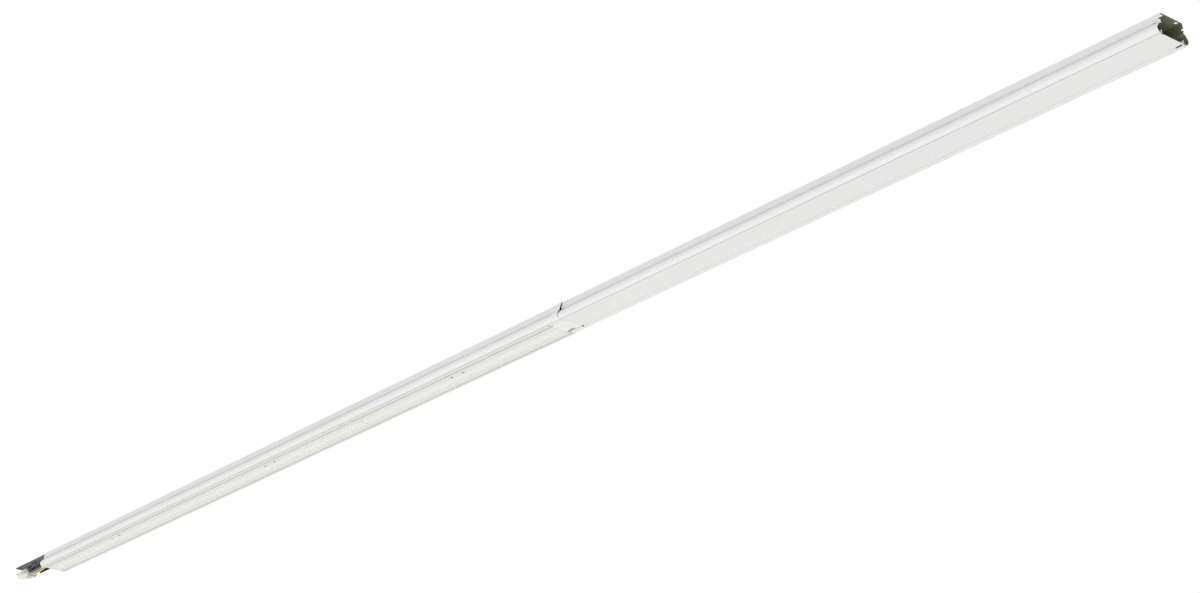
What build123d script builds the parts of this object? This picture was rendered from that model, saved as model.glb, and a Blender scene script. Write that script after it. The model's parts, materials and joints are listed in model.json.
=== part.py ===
from build123d import *
import os

# Continuous-row lighting batten: two lengths of folded-steel trunking joined end to end,
# an LED gear tray clipped under the first length and a blank cover under the second.
# X runs along the row (+X is the open end, -X the end with the coupler), Y across, +Z up.
# The origin is on the flat top of the trunking, half way along. All sizes in mm.

# ---- driving dimensions -------------------------------------------------------------
module = 562.7                     # the system's grid, one lens module long
long_length = 3 * module           # trunking over the LED tray
short_length = 2 * module          # trunking over the blank cover
x_far = -(long_length + short_length) / 2
x_joint = x_far + long_length
x_near = x_joint + short_length

steel = 0.7                        # trunking sheet
web_under = -steel                 # underside of the trunking's top
top_half_width = 20.1              # sheet centre lines, half of the section
shoulder = (22.0, -10.8)
groove = (20.3, -13.4)
ledge = (24.2, -15.0)
widest = (29.3, -21.2)
belly = (28.9, -24.6)
lip = (25.4, -28.75)
hem_half_width = 21.6
hem_top = -26.6
bend = 0.8                         # bend radius on the sheet's centre line
bell_length = 32.0                 # mouth at the joint, with the groove mostly pressed out
bell_flare = 1.3
bell_rise = 0.8

cover_steel = 0.6                  # gear tray and blank cover sheet
cover_bend = 0.5
face_z = -30.05                    # centre of the sheet in the visible lower face
face_half_width = 25.6
leg_y = 20.4
leg_top = -23.0
leg_foot = -29.5
cover_half_width = 25.0            # the blank cover is a little narrower than the tray
tray_x = (x_far - 2.0, x_joint - 0.1)
cover_x = (x_joint + 0.1, x_near - 0.6)
tray_wall_y = 18.6
tray_web_z = -24.4
pan_half_width = 18.4              # stepped middle of the blank cover
pan_z = -28.45
slot_y = (17.7, 19.4)              # blade slots, cut through the step of the blank cover
slot_round_y = 18.5
near_slot = (11.2, 2.2)            # from the open end
joint_notch = 4.6                  # from the joint
slot_end_radius = 1.5
slot_end_setback = 1.2
leg_relief_z = (-29.0, -26.4)      # the foot of the leg is cut away beside the blade slots

end_hole_x = 9.0                   # locking hole near the open end, from that end
end_plate_hole_x = 4.3
end_plate_hole_y = 14.0
ceiling_hole_radius = 2.6

coupler_steel = 1.2
coupler_bend = 1.4
coupler_top = web_under - 0.1        # its upper face, just clear of the trunking's web
coupler_reach = 137.0
coupler_grip = 150.0
coupler_knee = (20.85, -10.55)      # its legs follow the trunking's walls
coupler_foot = (19.4, -12.8)
coupler_tip = 36.0                 # its legs are cut back at the tip
coupler_window = ((-58.0, -4.0), (-11.0, -7.4))
rivet_radius = 2.0
end_rivet_x = (x_far + 20.0, x_far + 130.0)
joint_rivet_x = (x_joint - 130.0, x_joint - 50.0, x_joint + 50.0, x_joint + 130.0)

wire_radius = 1.6
wire_z = -4.4
wire_pitch = 3.3
wire_first = 7.3
wire_bend = 12.0
wire_strap_x = (-1150.0, -900.0, -620.0, -60.0, 560.0, 860.0, 1080.0)
wire_straight = 16.0               # straight run behind the plug and the socket
wire_rise = 62.0                   # where the wires have reached the top
wires = {                          # name: place across the trunking, place on the plug
    "wire_violet": (-3, (-9.0, -9.5)),
    "wire_brown": (-2, (-3.0, -9.5)),
    "wire_black": (-1, (3.0, -9.5)),
    "wire_grey": (0, (9.0, -9.5)),
    "wire_blue": (1, (-6.0, -16.5)),
    "wire_pink": (2, (0.0, -16.5)),
    "wire_earth": (3, (6.0, -16.5)),
}

plug_x = (x_far - 146.0, x_far - 94.0)
plug_nose = 26.0
plug_half_width = 12.0
plug_z = (-22.0, -6.0)
plug_corner = 2.0
socket_x = (x_near - 186.0, x_near - 120.0)
shell = 1.4
contact_radius = 1.2

lens_wing = 25.2                   # half width of the lens's face, over the tray's flanges
lens_half_width = 18.0             # half width of the part that lies in the tray
lens_z = (-31.9, -29.6)
lens_face_top = -30.45
lens_side_top = -25.5
cap_z = (-28.9, -28.0)
near_cap_length = 28.0
far_cap_length = 8.0
lens_ends = ((tray_x[0] + far_cap_length, x_far + module - 0.2),
             (x_far + module + 0.2, x_far + 2 * module - 0.2),
             (x_far + 2 * module + 0.2, x_joint - near_cap_length))
pocket_x = (1.6, 14.2)             # tool pocket, from the start of the end cap
pocket_y = (11.0, 17.2)
board_length = 500.0
board_half_width = 8.5
board_steel = 1.6
led_count = 28
led_pitch = 18.2
led_size = (3.2, 2.8, 0.7)
lens_screw_x = 15.0
lens_screw_y = -11.0
lens_head_depth = 1.2

driver_x = (-150.0, 130.0)
driver_half_width = 14.0
driver_height = 14.0
tap_x = (-332.0, -288.0)
tap_pin_x = -306.0
tap_pin_wires = (-2, -1, 0, 1, 2)
spring_x_tray = (-1300.0, -960.0, -470.0, -230.0, 190.0)
spring_x_cover = (350.0, 700.0, 1000.0, 1340.0)
spring_width = 12.0
spring_hole_z = -26.6
strap_x = (driver_x[0] + 30.0, driver_x[1] - 30.0)
strap_screw_y = 16.9
earth_x = -230.0
earth_y = 9.0
lead_hole_x = x_joint - 20.0
lead_hole_y = 6.0
lead_level = -19.5
input_y = (-5.0, 0.0)
output_y = (-2.5, 2.5)

tray_top = tray_web_z + cover_steel / 2
tray_under = tray_web_z - cover_steel / 2
board_under = tray_under - board_steel
thin_lead_radius = 0.7
thin_lead_z = board_under - 0.85    # level with the connectors on the boards


# ---- helpers ------------------------------------------------------------------------
def save(name, shape):
    """Write one named sub-part."""
    export_step(shape, f"parts/{name}.step")


def block(x, y, z):
    """A box from its (low, high) limits on each axis."""
    centre = [(low + high) / 2 for low, high in (x, y, z)]
    size = [high - low for low, high in (x, y, z)]
    return Pos(*centre) * Box(*size)


def rounded_block(x, y, z, radius):
    """A box with its long edges, along X, rounded."""
    body = block(x, y, z)
    return fillet(body.edges().filter_by(Axis.X), radius)


def upright(x, y, z, radius):
    """A vertical cylinder between two heights."""
    low, high = z
    return Pos(x, y, (low + high) / 2) * Cylinder(radius, high - low)


def cross_pin(x, y, z, radius):
    """A cylinder along Y between two widths."""
    low, high = y
    return Pos(x, (low + high) / 2, z) * Rot(90, 0, 0) * Cylinder(radius, high - low)


def long_pin(x, y, z, radius):
    """A cylinder along X between two stations."""
    low, high = x
    return Pos((low + high) / 2, y, z) * Rot(0, 90, 0) * Cylinder(radius, high - low)


def section_plane(x):
    """The cross-section plane at a station: its x is +Y and its y is +Z."""
    return Plane(origin=(x, 0, 0), x_dir=(0, 1, 0), z_dir=(1, 0, 0))


def sheet_section(points, thickness, radius):
    """The cut face of a folded sheet along its centre line."""
    return trace(FilletPolyline(*points, radius=radius), line_width=thickness)


def folded_sheet(points, thickness, radius, x):
    """A folded sheet of one section between two stations."""
    section = section_plane(x[0]) * sheet_section(points, thickness, radius)
    return extrude(section, amount=x[1] - x[0], dir=(1, 0, 0))


def both_sides(half):
    """Mirror a half outline, given from the centre outwards, into a whole one."""
    return [(-y, z) for y, z in reversed(half)] + half


def tube(points, radius, bend_radius):
    """A round lead along straight runs joined by arcs."""
    path = FilletPolyline(*points, radius=bend_radius)
    start = Plane(origin=path @ 0, z_dir=path % 0)
    return sweep(start * Circle(radius), path=path)


def group(solids):
    """Several separate solids kept as one sub-part."""
    return Compound(children=list(solids))


def wire_y(place):
    """Where a through wire lies across the trunking, leaving the middle free."""
    if place < 1:
        return -wire_first - wire_pitch * -place
    return wire_first + wire_pitch * (place - 1)


# ---- trunking -----------------------------------------------------------------------
def trunking_half():
    """Half of the trunking's centre line, from the top corner to the top of the hem."""
    top = (top_half_width, -steel / 2)
    hem = [(hem_half_width, lip[1]), (hem_half_width, hem_top)]
    return [top, shoulder, groove, ledge, widest, belly, lip] + hem


def bell_half():
    """The same outline at the mouth, with most of the groove in its side pressed out."""
    top = (top_half_width + bell_flare, -steel / 2 + bell_rise)
    wide = (widest[0] + bell_flare, widest[1])
    slope = (wide[0] - top[0]) / (wide[1] - top[1])
    creases = ((shoulder[1], -0.8), (groove[1], -1.4), (ledge[1], -0.8))
    side = [(top[0] + slope * (z - top[1]) + bulge, z) for z, bulge in creases]
    hem = [(hem_half_width, lip[1]), (hem_half_width, hem_top)]
    return [top] + side + [wide, (belly[0] + bell_flare, belly[1]), lip] + hem


def flush_rivet(x):
    """A rivet that is flush on top and has its head under the coupler."""
    head_top = coupler_top - coupler_steel
    cone = Pos(x, 0, -steel / 2) * Cone(rivet_radius, rivet_radius + 1.0, steel)
    shank = upright(x, 0, (head_top, -steel), rivet_radius)
    return cone + shank + upright(x, 0, (head_top - 0.9, head_top), 3.4)


def rivet_seat(x):
    """The countersunk hole that a flush rivet sits in."""
    cone = Pos(x, 0, -steel / 2) * Cone(rivet_radius + 0.06, rivet_radius + 1.06, steel)
    return cone + upright(x, 0, (-3.0, -steel + 0.01), rivet_radius + 0.06)


def long_trunk_section():
    """Trunking over the LED tray, with the bell mouth that covers the joint."""
    bell_x = x_joint - bell_length
    body = folded_sheet(both_sides(trunking_half()), steel, bend, (x_far, bell_x))
    plain = section_plane(bell_x) * sheet_section(both_sides(trunking_half()), steel, bend)
    wide = section_plane(x_joint) * sheet_section(both_sides(bell_half()), steel, bend)
    body += loft([plain, wide], ruled=True)
    for x in end_rivet_x:
        body -= rivet_seat(x)
    for x in joint_rivet_x[:2]:
        body -= rivet_seat(x)
    return body - upright(-2 * module, 0, (-2, 1), ceiling_hole_radius)


def short_trunk_section():
    """Trunking over the blank cover, with the end plate holes at its open end."""
    body = folded_sheet(both_sides(trunking_half()), steel, bend, (x_joint, x_near))
    for x in joint_rivet_x[2:]:
        body -= rivet_seat(x)
    for side in (-1, 1):
        body -= upright(x_near - end_plate_hole_x, side * end_plate_hole_y, (-2, 1), 2.2)
        wall = (side * shoulder[0] - 3, side * shoulder[0] + 3)
        body -= block((x_near - 2.5, x_near + 1), wall, (-9.6, -7.2))
    front_wall = (-shoulder[0] - 3, -shoulder[0] + 3)
    body -= cross_pin(x_near - end_hole_x, front_wall, groove[1], 1.6)
    return body - upright(2 * module, 0, (-2, 1), ceiling_hole_radius)


def coupler_half():
    """Half of the coupler's centre line, nested inside the trunking's top."""
    top = coupler_top - coupler_steel / 2
    return [(19.1, top), coupler_knee, coupler_foot]


def coupler(x, rivets):
    """A galvanised channel that carries one length of trunking on the next."""
    body = folded_sheet(both_sides(coupler_half()), coupler_steel, coupler_bend, x)
    for station in rivets:
        body -= upright(station, 0, (-3, 0), rivet_radius + 0.06)
    return body


def end_coupler():
    """The coupler that stands out of the far end: tapered tip, short legs there, a window each side."""
    start = x_far - coupler_reach
    body = coupler((start, x_far + coupler_grip), end_rivet_x)
    window_x = [x_far + offset for offset in coupler_window[0]]
    for side in (-1, 1):
        leg = (side * top_half_width - 3, side * top_half_width + 3)
        body -= Pos(start, side * 21, 0) * Rot(0, 0, 45) * Box(9, 9, 30)
        body -= block((start - 1, start + coupler_tip), leg, (-14.0, -2.8))
        body -= block(window_x, leg, coupler_window[1])
    return body - upright(start + 12, 0, (-3, 0), ceiling_hole_radius)


def hook_strap(x, bottom):
    """A moulded strap that holds the through wires up under the trunking."""
    stem = block((x - 5, x + 5), (-3.0, 3.0), (bottom, web_under))
    return stem + block((x - 5, x + 5), (-18.6, 18.6), (bottom - 1.2, bottom))


def wire_straps():
    """The straps along the row, clear of the couplers, the tap and the driver."""
    return group(hook_strap(x, wire_z - wire_radius - 0.1) for x in wire_strap_x)


# ---- through wiring -----------------------------------------------------------------
def through_wire(place, plug_place):
    """One through wire, from the back of the plug to the back of the socket."""
    y = wire_y(place)
    plug_y, plug_level = plug_place
    points = [
        (plug_x[1], plug_y, plug_level),
        (plug_x[1] + wire_straight, plug_y, plug_level),
        (plug_x[1] + wire_rise, y, wire_z),
        (socket_x[0] - wire_rise, y, wire_z),
        (socket_x[0] - wire_straight, plug_y, plug_level),
        (socket_x[0], plug_y, plug_level),
    ]
    return tube(points, wire_radius, wire_bend)


def contact_places():
    """Where the seven contacts sit on the face of the plug and socket."""
    return [place for _, place in wires.values()]


def through_plug():
    """The moulded plug at the coupler end: body, nose, strain windows and hanger foot."""
    back, front = plug_x[1], plug_x[0] + plug_nose
    body = rounded_block((front, back), (-plug_half_width, plug_half_width), plug_z, plug_corner)
    nose_y = plug_half_width - shell - 0.3
    nose_z = (plug_z[0] + shell + 0.3, plug_z[1] - shell - 0.3)
    body += rounded_block((plug_x[0], front), (-nose_y, nose_y), nose_z, 1.2)
    body += block((front + 8, back - 12), (-5, 5), (plug_z[1], coupler_top - coupler_steel))
    for y, z in contact_places():
        body -= long_pin((plug_x[0] - 1, front + 4), y, z, contact_radius + 0.25)
    for window in range(3):
        x = front + 6 + 10 * window
        body -= block((x, x + 7), (-plug_half_width - 1, -plug_half_width + 2.5), (-18.5, -13.5))
        body -= block((x, x + 7), (-4.5, 4.5), (plug_z[0] - 1, plug_z[0] + 2.0))
    return body


def through_plug_contacts():
    """Round pins in the plug's nose."""
    start, end = plug_x[0] + 3.0, plug_x[0] + plug_nose + 4.0
    return group(long_pin((start, end), y, z, contact_radius) for y, z in contact_places())


def through_socket():
    """The socket just inside the open end that takes the next row's plug."""
    body = rounded_block(socket_x, (-plug_half_width, plug_half_width), plug_z, plug_corner)
    inner = plug_half_width - shell
    cavity_z = (plug_z[0] + shell, plug_z[1] - shell)
    body -= block((socket_x[1] - plug_nose, socket_x[1] + 1), (-inner, inner), cavity_z)
    body += block((socket_x[0] + 10, socket_x[0] + 34), (-5, 5), (plug_z[1], web_under))
    for y, z in contact_places():
        body -= long_pin((socket_x[1] - plug_nose - 6, socket_x[1] - plug_nose), y, z, contact_radius)
    return body


def through_socket_contacts():
    """Contact tubes standing in the socket's cavity."""
    start, end = socket_x[1] - plug_nose - 6.0, socket_x[1] - 6.0
    return group(long_pin((start, end), y, z, contact_radius) for y, z in contact_places())


# ---- tap from the through wiring to the tray ----------------------------------------
def tap_socket():
    """The fixed half of the tap, hung under the through wires."""
    top = wire_z - wire_radius - 0.2
    body = rounded_block(tap_x, (-18.2, 18.2), (-13.9, top), 1.0)
    body += block((tap_x[0] + 6, tap_x[1] - 6), (-4.5, 4.5), (top, web_under))
    for place in tap_pin_wires:
        body -= upright(tap_pin_x, wire_y(place), (-14.5, top + 0.5), 1.15)
    return body


def tap_socket_contacts():
    """Blades at the top of each hole that touch the wires above."""
    top = wire_z - wire_radius
    return group(upright(tap_pin_x, wire_y(place), (-7.9, top), 0.9) for place in tap_pin_wires)


def tap_plug():
    """The tray's half of the tap, with the slot of the phase selector in its end."""
    body = rounded_block(tap_x, (-17.4, 17.4), (tray_top, -14.5), 1.0)
    body -= block((tap_x[0] - 1, tap_x[0] + 4), (-15.0, -4.0), (-22.0, -17.0))
    for place in tap_pin_wires:
        body -= upright(tap_pin_x, wire_y(place), (-19.0, -14.0), 0.8)
    for y in (-5.0, 0.0, 5.0):
        body -= long_pin((tap_x[1] - 6, tap_x[1] + 1), y, -19.0, 1.2)
    return body


def tap_plug_pins():
    """The pins that rise from the tray into the tap socket."""
    return group(upright(tap_pin_x, wire_y(place), (-19.0, -8.5), 0.8) for place in tap_pin_wires)


def phase_selector():
    """The slider that picks the line that feeds the tray."""
    body = block((tap_x[0], tap_x[0] + 3.7), (-14.8, -10.4), (-21.8, -17.2))
    return body + block((tap_x[0] - 2.0, tap_x[0]), (-13.6, -11.6), (-21.0, -18.0))


# ---- parts shared by the gear tray and the blank cover ------------------------------
def edge_leg(side, x, half_width):
    """The hemmed edge and upstanding leg of a cover, on one side."""
    points = [(leg_y, leg_top), (leg_y, leg_foot), (half_width - 0.4, leg_foot)]
    return folded_sheet([(side * y, z) for y, z in points], cover_steel, 0.6, x)


def clip_spring(side, x):
    """A leaf spring that hooks over the trunking's hem."""
    points = [(19.75, -29.0), (19.75, -22.4), (20.9, -21.9), (23.4, -24.8), (22.3, -26.0)]
    outline = [(side * y, z) for y, z in points]
    leaf = folded_sheet(outline, 0.5, 0.4, (x - spring_width / 2, x + spring_width / 2))
    return leaf - cross_pin(x, (side * 19.75 - 1, side * 19.75 + 1), spring_hole_z, 1.25)


def clip_rivet(side, x):
    """The small rivet that holds a spring to its leg."""
    inner, outer = side * 19.5, side * (leg_y + cover_steel / 2)
    shank = cross_pin(x, sorted((inner, outer)), spring_hole_z, 1.2)
    head = cross_pin(x, sorted((side * 19.0, inner)), spring_hole_z, 2.0)
    foot = cross_pin(x, sorted((outer, outer + side * 0.3)), spring_hole_z, 1.7)
    return shank + head + foot


def spring_places(stations):
    """Each spring's side and station."""
    return [(side, x) for x in stations for side in (-1, 1)]


def rivet_holes(body, stations):
    """Drill the legs for the spring rivets."""
    for side, x in spring_places(stations):
        body -= cross_pin(x, (side * leg_y - 0.5, side * leg_y + 0.5), spring_hole_z, 1.25)
    return body


# ---- LED gear tray ------------------------------------------------------------------
def module_centre(index):
    """The middle of one lens module."""
    return x_far + module * (index + 0.5)


def lens_screw_places(index):
    """The two screws at the middle of a lens module."""
    return [module_centre(index) + side * lens_screw_x for side in (-1, 1)]


def gear_tray():
    """Folded steel tray: flanges that lie under the trunking's lips and a channel for the lens."""
    half = [(tray_wall_y, tray_web_z), (tray_wall_y, face_z), (face_half_width, face_z)]
    body = folded_sheet(both_sides(half), cover_steel, cover_bend, tray_x)
    for side in (-1, 1):
        body += edge_leg(side, tray_x, face_half_width)
    body = rivet_holes(body, spring_x_tray)
    for index in range(3):
        for x in lens_screw_places(index):
            body -= upright(x, lens_screw_y, (tray_under - 1, tray_top + 1), 1.5)
    body -= upright(lead_hole_x, lead_hole_y, (tray_under - 1, tray_top + 1), 3.6)
    for x in strap_x:
        for side in (-1, 1):
            body -= upright(x, side * strap_screw_y, (tray_under - 1, tray_top + 1), 1.3)
    return body - upright(earth_x, earth_y, (tray_under - 1, tray_top + 1), 1.6)


def led_board(index):
    """One strip board under the tray's web."""
    x = module_centre(index)
    ends = (x - board_length / 2, x + board_length / 2)
    return block(ends, (-board_half_width, board_half_width), (board_under, tray_under))


def leds(index):
    """The row of LED packages on one board."""
    first = module_centre(index) - led_pitch * (led_count - 1) / 2
    z = board_under - led_size[2] / 2
    return group(Pos(first + led_pitch * i, 0, z) * Box(*led_size) for i in range(led_count))


def lens_plate(index):
    """The moulded lens over one board: a wide face, a channel in the tray and screw bosses."""
    x = lens_ends[index]
    body = block(x, (-lens_wing, lens_wing), (lens_z[0], lens_face_top))
    body += block(x, (-lens_half_width, lens_half_width), (lens_face_top, lens_z[1]))
    for side in (-1, 1):
        wall = sorted((side * lens_half_width, side * (lens_half_width - 1.3)))
        body += block(x, wall, (lens_z[1], lens_side_top))
    for screw_x in lens_screw_places(index):
        body += upright(screw_x, lens_screw_y, (lens_z[1], tray_under), 2.4)
        body -= upright(screw_x, lens_screw_y, (lens_z[0] - 1, tray_under + 1), 1.55)
        body -= upright(screw_x, lens_screw_y, (lens_z[0] - 1, lens_z[0] + lens_head_depth), 3.0)
    return body


def lens_screws():
    """Pan-head screws that hold the lenses up to the tray."""
    screws = []
    for index in range(3):
        for x in lens_screw_places(index):
            head = upright(x, lens_screw_y, (lens_z[0] + 0.1, lens_z[0] + lens_head_depth), 2.7)
            shank = upright(x, lens_screw_y, (lens_z[0] + lens_head_depth, tray_top), 1.4)
            slot_width = (lens_screw_y - 0.3, lens_screw_y + 0.3)
            slot = block((x - 3, x + 3), slot_width, (lens_z[0] - 1, lens_z[0] + 0.6))
            screws.append(head + shank - slot)
    return group(screws)


def board_connectors():
    """Low connectors at the board ends that face each other, and at the feed."""
    blocks = []
    z = (board_under - 1.7, board_under)
    for index in range(3):
        for side in (-1, 1):
            x = module_centre(index) + side * (board_length / 2 - 4)
            blocks.append(block((x - 4, x + 4), (3.4, 8.4), z))
    return group(blocks[1:])


def board_links():
    """Short pairs of leads that join the boards across the lens joints."""
    leads = []
    for index in range(2):
        start = module_centre(index) + board_length / 2
        end = module_centre(index + 1) - board_length / 2
        for y in (4.7, 7.1):
            leads.append(long_pin((start, end), y, thin_lead_z, thin_lead_radius))
    return group(leads)


def feed_lead(y_end, y_start):
    """A lead from the driver down through the tray's web to the last board."""
    board_end = module_centre(2) + board_length / 2
    points = [
        (driver_x[1] + 24, y_start, -19.5),
        (driver_x[1] + 44, y_start, -19.5),
        (driver_x[1] + 64, y_end, -22.5),
        (lead_hole_x, y_end, -22.5),
        (lead_hole_x, y_end, thin_lead_z),
        (board_end, y_end, thin_lead_z),
    ]
    return tube(points, thin_lead_radius, [4.0, 4.0, 2.2, 2.2])


def end_cap_near():
    """Moulded cap that closes the lens at the joint, with its tool pocket."""
    x = (lens_ends[2][1] + 0.3, tray_x[1] - 0.3)
    body = block(x, (-lens_half_width, lens_half_width), cap_z)
    body += block((x[1] - 1.6, x[1]), (-lens_half_width, lens_half_width), (cap_z[1], tray_under - 0.1))
    hole_x = [x[0] + offset for offset in pocket_x]
    return body - block(hole_x, pocket_y, (cap_z[0] - 1, cap_z[1] + 1))


def tool_pocket():
    """The insert in the end cap that takes a blade when the tray is pulled down."""
    start = lens_ends[2][1] + 0.3
    outer_x = (start + pocket_x[0] + 0.1, start + pocket_x[1] - 0.1)
    outer_y = (pocket_y[0] + 0.1, pocket_y[1] - 0.1)
    cup = block(outer_x, outer_y, (cap_z[0] + 0.4, cap_z[1] + 1.2))
    inner_x = (outer_x[0] + 1.2, outer_x[1] - 1.2)
    inner_y = (outer_y[0] + 1.2, outer_y[1] - 1.2)
    return cup - block(inner_x, inner_y, (cap_z[0] - 1, cap_z[1] + 0.2))


def end_cap_far():
    """Moulded cap that closes the lens at the coupler end."""
    x = (tray_x[0] + 0.3, lens_ends[0][0] - 0.3)
    body = block(x, (-lens_half_width, lens_half_width), cap_z)
    across = (-lens_half_width, lens_half_width)
    return body + block((x[0], x[0] + 1.6), across, (cap_z[1], tray_under - 0.1))


def led_driver():
    """The driver's case on top of the tray."""
    z = (tray_top, tray_top + driver_height)
    return rounded_block(driver_x, (-driver_half_width, driver_half_width), z, 1.5)


def driver_straps():
    """Bent straps over the driver, each with two feet on the tray."""
    top = tray_top + driver_height + 0.5
    side, foot = driver_half_width + 0.6, tray_top + 0.4
    half = [(side, top), (side, foot), (strap_screw_y + 1.9, foot)]
    straps = []
    for x in strap_x:
        strap = folded_sheet(both_sides(half), 0.8, 0.5, (x - 6, x + 6))
        for hand in (-1, 1):
            strap -= upright(x, hand * strap_screw_y, (tray_top - 1, tray_top + 2), 1.25)
        straps.append(strap)
    return group(straps)


def strap_screws():
    """Self-tapping screws through the feet of the straps."""
    foot_top = tray_top + 0.8
    screws = []
    for x in strap_x:
        for side in (-1, 1):
            shank = upright(x, side * strap_screw_y, (tray_under, foot_top), 1.2)
            head = upright(x, side * strap_screw_y, (foot_top, foot_top + 1.2), 1.4)
            screws.append(shank + head)
    return group(screws)


def terminal(x, lead_face, lead_y):
    """A push-in terminal block at one end of the driver."""
    body = rounded_block(x, (-10.0, 10.0), (tray_top, tray_top + 9.8), 1.0)
    for y in lead_y:
        body -= upright((x[0] + x[1]) / 2, y, (tray_top + 7, tray_top + 11), 1.1)
        body -= long_pin((lead_face - 5, lead_face + 5), y, lead_level, 1.25)
    return body


def input_lead(y):
    """A supply lead from the tap plug to the driver's input terminal."""
    points = [
        (tap_x[1] - 5, y, -19.0),
        (tap_x[1] + 20, y, -19.0),
        (tap_x[1] + 45, y - 3, -21.5),
        (driver_x[0] - 60, y - 3, -21.5),
        (driver_x[0] - 40, y, lead_level),
        (driver_x[0] - 20, y, lead_level),
    ]
    return tube(points, 1.1, 7.0)


def earth_lead():
    """The tray's protective lead, from the tap plug to its ring under the earth screw."""
    ring_z = tray_top + 0.5
    points = [
        (tap_x[1] - 5, 5.0, -19.0),
        (tap_x[1] + 14, 5.0, -19.0),
        (earth_x - 14, earth_y, ring_z + 1.4),
        (earth_x - 5, earth_y, ring_z + 1.4),
    ]
    lead = tube(points, 1.1, 6.0)
    ring = upright(earth_x, earth_y, (tray_top, tray_top + 0.8), 3.6)
    tongue = block((earth_x - 9, earth_x - 3.0), (earth_y - 1.1, earth_y + 1.1), (tray_top, tray_top + 1.9))
    return lead + ring + tongue - upright(earth_x, earth_y, (tray_top - 1, tray_top + 3), 1.6)


def earth_screw():
    """The screw that bonds the lead to the tray."""
    ring_top = tray_top + 0.8
    shank = upright(earth_x, earth_y, (tray_under, ring_top), 1.5)
    return shank + upright(earth_x, earth_y, (ring_top, ring_top + 1.8), 2.8)


# ---- blank cover --------------------------------------------------------------------
def blank_cover():
    """Folded steel cover with a shallow stepped middle and a blade slot at each end."""
    half = [(pan_half_width, pan_z), (pan_half_width, face_z), (cover_half_width, face_z)]
    body = folded_sheet(both_sides(half), cover_steel, cover_bend, cover_x)
    for side in (-1, 1):
        body += edge_leg(side, cover_x, cover_half_width)
    body = rivet_holes(body, spring_x_cover)
    through = (face_z - 1, pan_z + 1)
    beside_leg = (leg_y - 1, leg_y + 1)
    near = (x_near - near_slot[0], x_near - near_slot[1])
    at_joint = (cover_x[0] - 1, x_joint + joint_notch)
    for x in (near, at_joint):
        body -= block(x, slot_y, through)
        body -= block(x, beside_leg, leg_relief_z)
    return body - upright(near[1] - slot_end_setback, slot_round_y, through, slot_end_radius)


# ---- every sub-part -----------------------------------------------------------------
save("long_trunk_section", long_trunk_section())
save("short_trunk_section", short_trunk_section())
save("end_coupler", end_coupler())
save("joint_coupler", coupler((x_joint - coupler_grip, x_joint + coupler_grip), joint_rivet_x))
save("coupler_rivets", group(flush_rivet(x) for x in end_rivet_x + joint_rivet_x))
save("wire_straps", wire_straps())
for wire_name, (wire_place, on_plug) in wires.items():
    save(wire_name, through_wire(wire_place, on_plug))
save("through_plug", through_plug())
save("through_plug_contacts", through_plug_contacts())
save("through_socket", through_socket())
save("through_socket_contacts", through_socket_contacts())
save("tap_socket", tap_socket())
save("tap_socket_contacts", tap_socket_contacts())

save("gear_tray", gear_tray())
for number in range(3):
    save(f"led_board_{number + 1}", led_board(number))
    save(f"leds_{number + 1}", leds(number))
    save(f"lens_plate_{number + 1}", lens_plate(number))
save("lens_screws", lens_screws())
save("board_connectors", board_connectors())
save("board_links", board_links())
save("feed_lead_positive", feed_lead(4.7, output_y[0]))
save("feed_lead_negative", feed_lead(7.1, output_y[1]))
save("end_cap_near", end_cap_near())
save("end_cap_far", end_cap_far())
save("tool_pocket", tool_pocket())
save("led_driver", led_driver())
save("driver_straps", driver_straps())
save("strap_screws", strap_screws())
save("input_terminal", terminal((driver_x[0] - 24, driver_x[0]), driver_x[0] - 24, input_y))
save("output_terminal", terminal((driver_x[1], driver_x[1] + 24), driver_x[1] + 24, output_y))
save("line_lead", input_lead(input_y[0]))
save("neutral_lead", input_lead(input_y[1]))
save("earth_lead", earth_lead())
save("earth_screw", earth_screw())
save("tap_plug", tap_plug())
save("tap_plug_pins", tap_plug_pins())
save("tray_springs", group(clip_spring(*place) for place in spring_places(spring_x_tray)))
save("tray_spring_rivets", group(clip_rivet(*place) for place in spring_places(spring_x_tray)))

save("phase_selector", phase_selector())

save("blank_cover", blank_cover())
save("cover_springs", group(clip_spring(*place) for place in spring_places(spring_x_cover)))
save("cover_spring_rivets", group(clip_rivet(*place) for place in spring_places(spring_x_cover)))
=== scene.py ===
import json
import math

import bmesh
import bpy
from mathutils import Matrix, Vector


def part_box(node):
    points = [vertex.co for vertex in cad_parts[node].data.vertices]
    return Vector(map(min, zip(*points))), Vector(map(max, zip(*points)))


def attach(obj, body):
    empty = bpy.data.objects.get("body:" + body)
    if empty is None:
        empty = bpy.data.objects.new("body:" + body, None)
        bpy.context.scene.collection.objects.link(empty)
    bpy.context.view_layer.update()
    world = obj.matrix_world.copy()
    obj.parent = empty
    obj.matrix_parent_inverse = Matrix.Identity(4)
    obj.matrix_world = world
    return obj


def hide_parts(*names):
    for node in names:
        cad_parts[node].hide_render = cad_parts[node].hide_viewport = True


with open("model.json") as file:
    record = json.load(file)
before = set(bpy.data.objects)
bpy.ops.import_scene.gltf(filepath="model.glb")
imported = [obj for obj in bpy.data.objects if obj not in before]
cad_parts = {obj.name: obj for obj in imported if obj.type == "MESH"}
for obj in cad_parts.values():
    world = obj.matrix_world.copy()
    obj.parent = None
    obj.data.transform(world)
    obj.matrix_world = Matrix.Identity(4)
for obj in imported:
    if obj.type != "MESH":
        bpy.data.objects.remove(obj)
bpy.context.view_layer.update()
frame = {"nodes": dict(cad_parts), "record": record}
nodes = frame["nodes"]
MM = 0.001


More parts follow.
